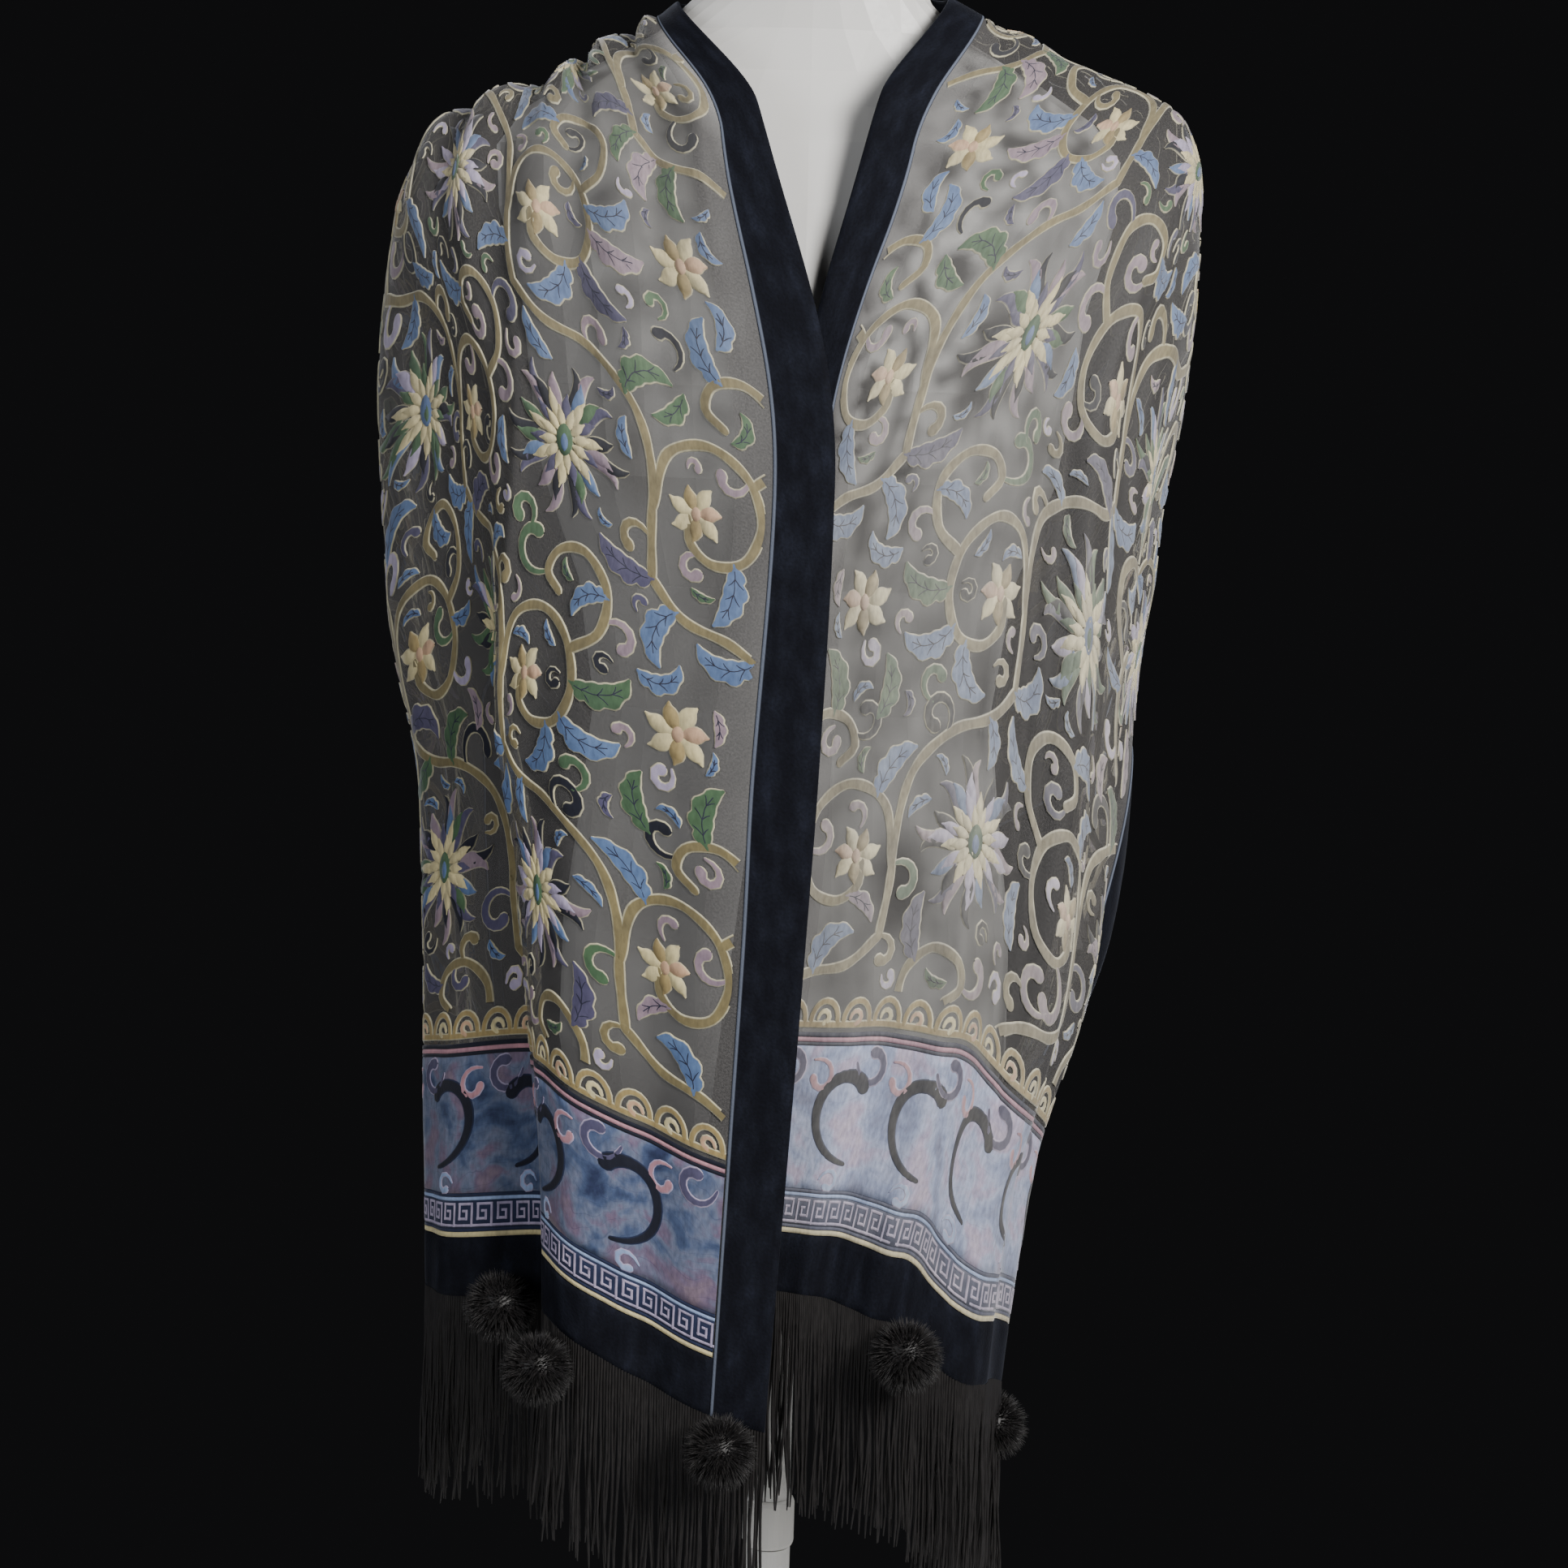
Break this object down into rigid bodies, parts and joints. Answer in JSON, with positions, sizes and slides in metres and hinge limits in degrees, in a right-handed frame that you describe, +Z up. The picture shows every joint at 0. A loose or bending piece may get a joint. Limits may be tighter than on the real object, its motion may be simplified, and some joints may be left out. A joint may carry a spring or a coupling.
{
  "type": "burnout velvet scarf on a limbless dress form",
  "caption": "Long burnout velvet scarf with velvet edges, printed borders, fringe and fur balls, draped round the shoulders of a limbless dress form on a round stand.",
  "frame": {"origin": "middle of the stand's underside", "axes": "+Z up, the front of the form faces -Y, +X is on the right of a viewer who faces the front"},
  "size_m": [0.4673, 0.38, 1.48],
  "materials": {
    "sheer": "sheer matt chiffon with velvet pile",
    "print_pile": "printed velvet pile",
    "velvet": "deep matt velvet",
    "yarn": "twisted yarn",
    "fur": "fur",
    "form_white": "smooth matt",
    "stand_white": "satin",
    "collar_white": "satin"
  },
  "bodies": {
    "root": {"field_left": "sheer", "field_right": "sheer", "field_back": "sheer", "border_left": "print_pile", "border_right": "print_pile", "inner_edge_left": "velvet", "inner_edge_right": "velvet", "inner_edge_back": "velvet", "outer_edge_left": "velvet", "outer_edge_right": "velvet", "outer_edge_back": "velvet", "hem_left": "velvet", "hem_right": "velvet", "fringe_left": "yarn", "fringe_right": "yarn", "fur_ball_left_1": "fur", "fur_ball_left_2": "fur", "fur_ball_left_3": "fur", "fur_ball_left_4": "fur", "fur_ball_left_5": "fur", "fur_ball_right_1": "fur", "fur_ball_right_2": "fur", "fur_ball_right_3": "fur", "fur_ball_right_4": "fur", "fur_ball_right_5": "fur", "dress_form": "form_white", "stand_base": "stand_white", "stand_tube": "stand_white", "stand_rod": "stand_white", "stand_collar": "collar_white"}
  },
  "joints": []
}
